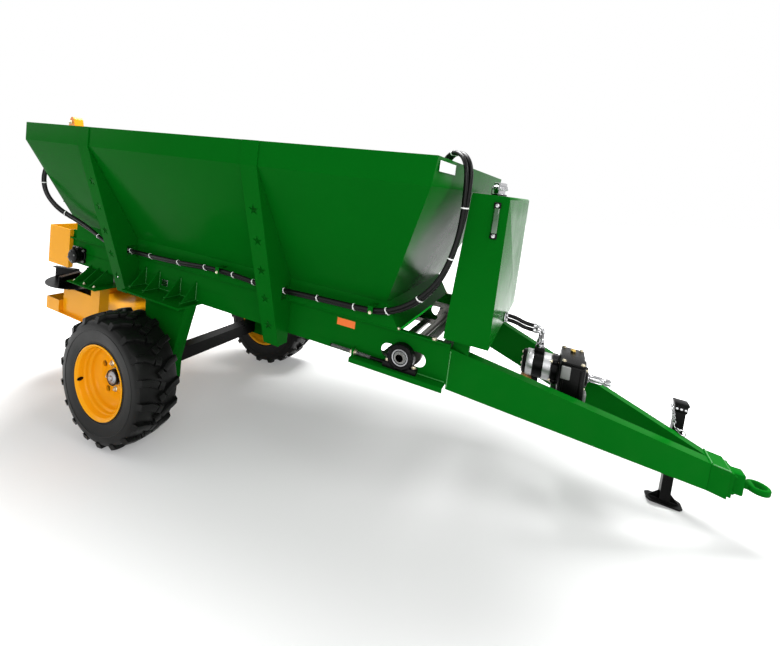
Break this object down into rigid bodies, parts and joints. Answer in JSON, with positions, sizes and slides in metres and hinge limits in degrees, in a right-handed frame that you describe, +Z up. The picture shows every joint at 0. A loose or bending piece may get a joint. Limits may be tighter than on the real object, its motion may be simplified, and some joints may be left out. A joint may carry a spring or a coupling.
{
  "type": "manure spreader",
  "caption": "Towed rear-discharge manure spreader: tapered open hopper over a moving slatted floor, sliding rear gate, spinning discs, A-frame drawbar and drop-leg jack.",
  "frame": {"origin": "centre of the bounding box, on the ground", "axes": "+X forward towards the towing ring, +Y to the machine's left, +Z up; the machine is parked 7 degrees nose-down on its wheels and drop-leg jack"},
  "size_m": [4.392, 1.69, 1.976],
  "materials": {
    "green_paint": "gloss green paint",
    "yellow_paint": "gloss yellow paint",
    "black_paint": "satin black paint",
    "tyre_rubber": "black lugged tyre",
    "hose_rubber": "black hose",
    "steel": "bare and zinc-plated steel",
    "cast_black": "black painted casting",
    "aluminium": "machined aluminium",
    "bright": "bright plated metal",
    "gauge_glass": "dark clear gauge"
  },
  "bodies": {
    "chassis": {"axle_beam": "black_paint", "conveyor": "steel", "cross_members": "green_paint", "cylinder_brackets": "yellow_paint", "drawbar_beam_left": "green_paint", "drawbar_beam_right": "green_paint", "drawbar_head": "green_paint", "drive_bearing": "cast_black", "drive_motor": "cast_black", "filler_cap": "bright", "front_shaft": "steel", "gate_cylinders": "black_paint", "gate_guides": "green_paint", "gearbox": "cast_black", "gearbox_mount": "green_paint", "hopper": "green_paint", "hose_clips": "green_paint", "hydraulic_pump": "aluminium", "jack_sleeve": "black_paint", "level_gauge": "gauge_glass", "oil_tank": "green_paint", "posts_left": "green_paint", "posts_right": "green_paint", "pump_fittings": "bright", "pump_hoses": "hose_rubber", "rear_hood": "yellow_paint", "rear_shaft": "steel", "side_hoses": "hose_rubber", "side_rail_left": "green_paint", "side_rail_right": "green_paint", "spinner_brackets": "green_paint", "spinner_frame": "yellow_paint", "spinner_motors": "cast_black", "take_up_angles": "green_paint", "take_up_bearings": "cast_black", "tank_mounts": "green_paint", "tow_ring": "green_paint", "trough_floor": "green_paint", "wheel_brackets": "green_paint", "wheel_legs": "green_paint"},
    "wheel_right": {"tyre_right": "tyre_rubber", "rim_right": "yellow_paint", "hub_right": "steel"},
    "wheel_left": {"tyre_left": "tyre_rubber", "rim_left": "yellow_paint", "hub_left": "steel"},
    "spinner_disc_right": {"spinner_right": "black_paint"},
    "spinner_disc_left": {"spinner_left": "black_paint"},
    "sliding_gate": {"gate": "green_paint", "gate_rods": "bright"},
    "power_shaft": {"pto_shaft": "steel"},
    "drop_leg": {"jack_leg": "black_paint"}
  },
  "joints": [
    {"name": "wheel_right_spin", "type": "hinge", "parent": "chassis", "child": "wheel_right", "pos_m": [-0.8595, -0.713, 0.378], "axis": [0, 1, 0], "continuous": true},
    {"name": "wheel_left_spin", "type": "hinge", "parent": "chassis", "child": "wheel_left", "pos_m": [-0.8595, 0.713, 0.378], "axis": [0, 1, 0], "continuous": true},
    {"name": "spinner_right_spin", "type": "hinge", "parent": "chassis", "child": "spinner_disc_right", "pos_m": [-1.95183, -0.272, 0.75392], "axis": [0.1219, 0, 0.9925], "continuous": true},
    {"name": "spinner_left_spin", "type": "hinge", "parent": "chassis", "child": "spinner_disc_left", "pos_m": [-1.95183, 0.272, 0.75392], "axis": [0.1219, 0, 0.9925], "continuous": true},
    {"name": "gate_lift", "type": "slide", "parent": "chassis", "child": "sliding_gate", "axis": [0.1219, 0, 0.9925], "range_m": [0, 0.2]},
    {"name": "power_shaft_spin", "type": "hinge", "parent": "chassis", "child": "power_shaft", "pos_m": [1.58729, 0, 0.57125], "axis": [0.9925, 0, -0.1219], "continuous": true},
    {"name": "drop_leg_slide", "type": "slide", "parent": "chassis", "child": "drop_leg", "axis": [-0.1219, 0, -0.9925], "range_m": [0, 0.09]}
  ]
}
